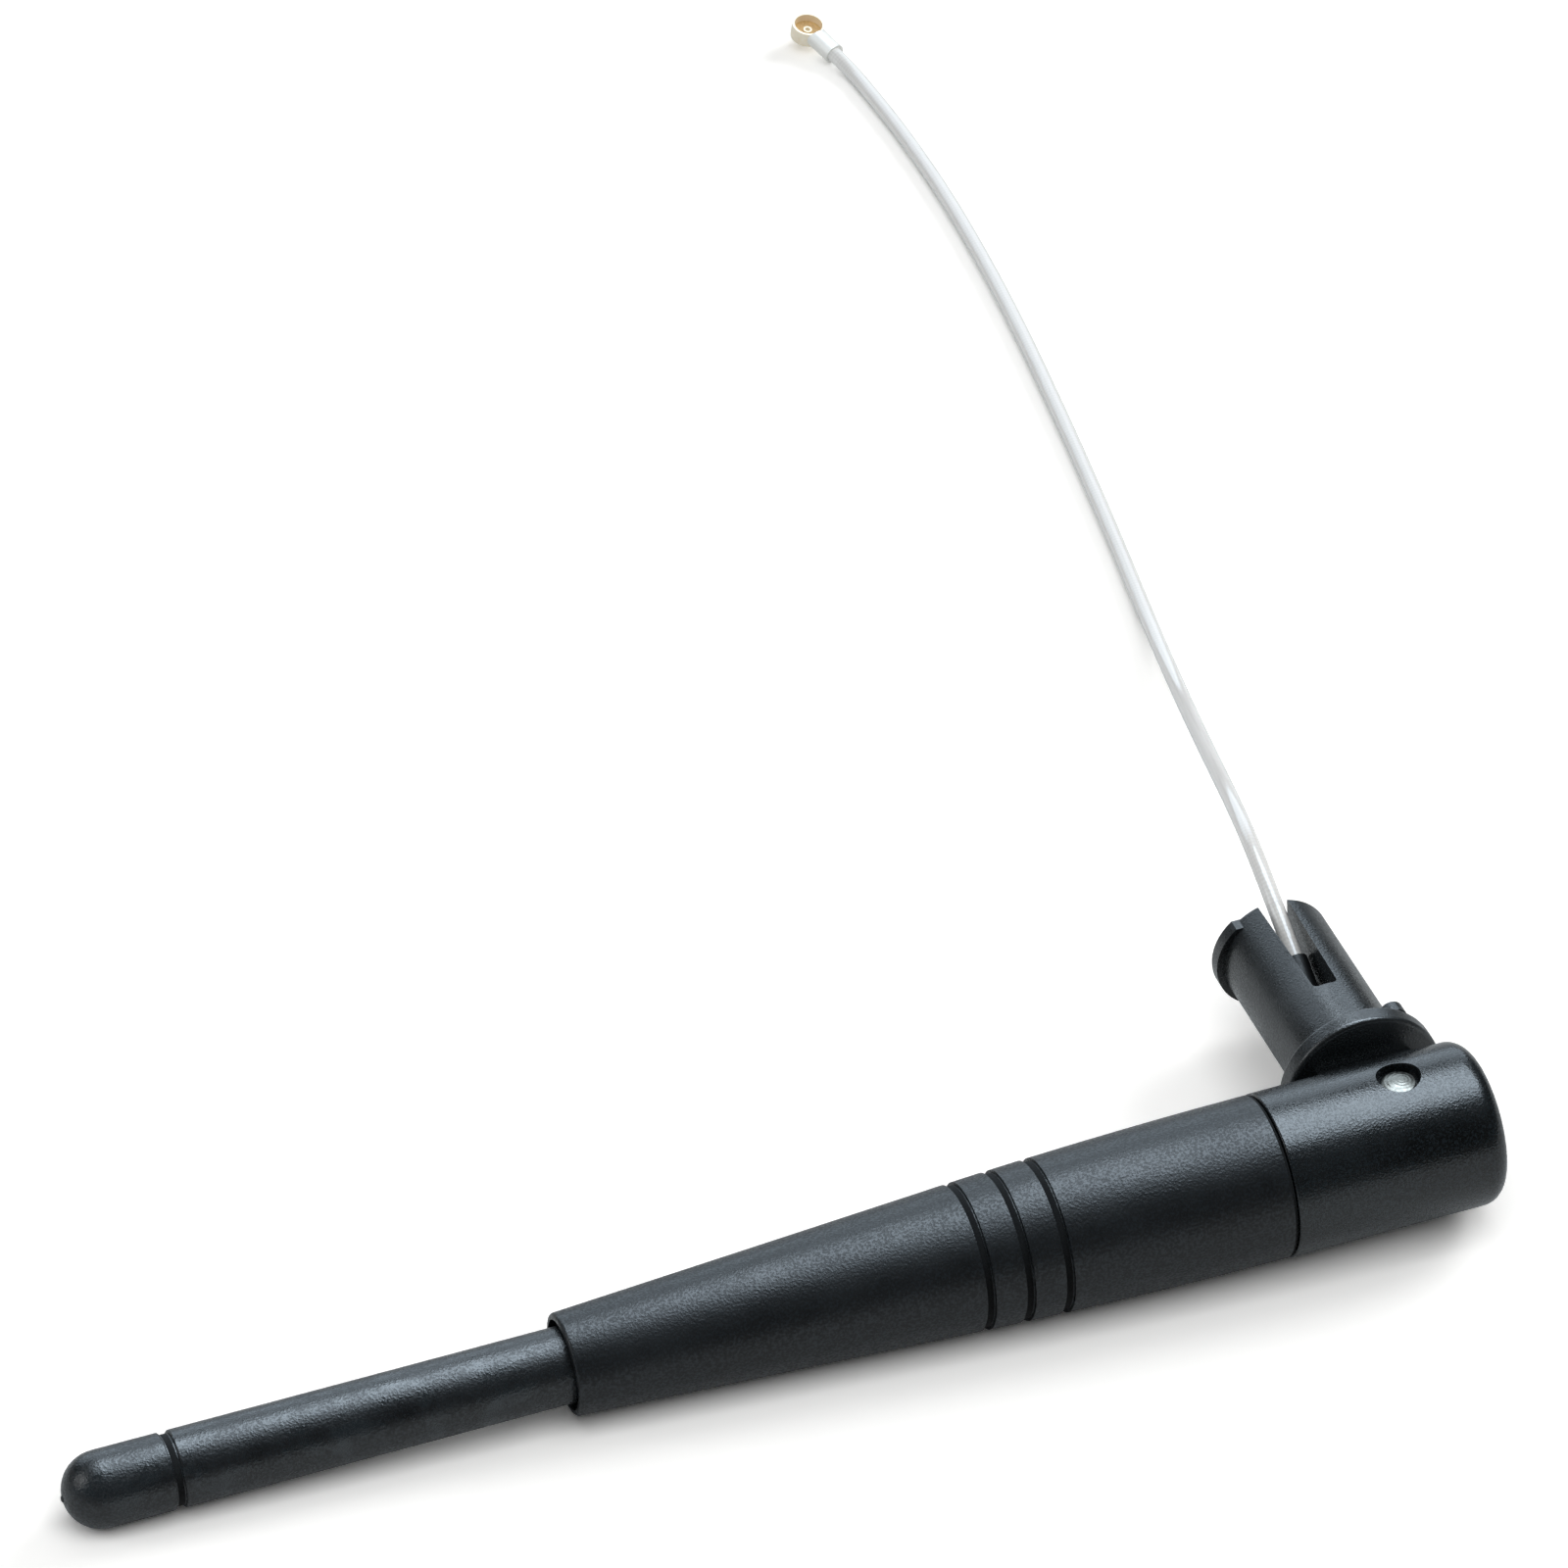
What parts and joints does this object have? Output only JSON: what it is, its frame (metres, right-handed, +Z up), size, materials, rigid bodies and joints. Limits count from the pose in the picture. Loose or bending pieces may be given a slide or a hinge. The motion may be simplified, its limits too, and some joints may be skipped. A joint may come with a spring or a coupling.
{
  "type": "folding wifi antenna",
  "caption": "Folding stick antenna: tapered grip and thin domed shaft on a pinned knuckle, split snap-in post, thin coax pigtail with a micro coax plug.",
  "frame": {"origin": "on the surface the antenna lies on, under the middle of the antenna without its pigtail", "axes": "+X along the rod from its tip to its knuckle, +Y along the mounting post to its free end, +Z up, near the hinge pin"},
  "size_m": [0.1246, 0.1825, 0.014],
  "materials": {
    "shaft_plastic": "moulded, fine satin grain",
    "sleeve_plastic": "moulded, fine satin grain",
    "knuckle_plastic": "moulded, spark-eroded grain",
    "base_plastic": "moulded, smooth satin",
    "pin_steel": "domed and bright",
    "coax_jacket": "pale smooth fluoropolymer jacket",
    "brass": "drawn",
    "gold_plate": "gold plated",
    "ferrule_metal": "tin over brass",
    "solder": "dull grey",
    "fluoropolymer": "white, waxy",
    "shrink_tube": "matte black",
    "plug_insulator": "natural moulded"
  },
  "bodies": {
    "base": {"snap_base": "base_plastic", "cable_in_base": "coax_jacket", "cable_hinge_bend": "coax_jacket", "pigtail_cable": "coax_jacket", "plug_shell": "gold_plate", "plug_insulator": "plug_insulator", "plug_contact": "gold_plate", "plug_crimp": "ferrule_metal"},
    "whip": {"radome_tube": "shaft_plastic", "grip_sleeve": "sleeve_plastic", "knuckle_housing": "knuckle_plastic", "hinge_pin_upper": "pin_steel", "hinge_pin_lower": "pin_steel", "cable_in_whip": "coax_jacket", "choke_sleeve": "brass", "braid_solder": "solder", "feed_bead": "fluoropolymer", "coax_core": "fluoropolymer", "radiator_rod": "brass", "tip_collar": "fluoropolymer", "choke_collar": "fluoropolymer", "cable_stop": "brass", "heat_shrink": "shrink_tube"}
  },
  "joints": [
    {"name": "whip_fold", "type": "hinge", "parent": "base", "child": "whip", "pos_m": [0.05013, -0.0098, 0.00727], "axis": [-0.041, 0, 0.9992], "range_deg": [0, 90], "deforming": ["cable_hinge_bend"]}
  ]
}
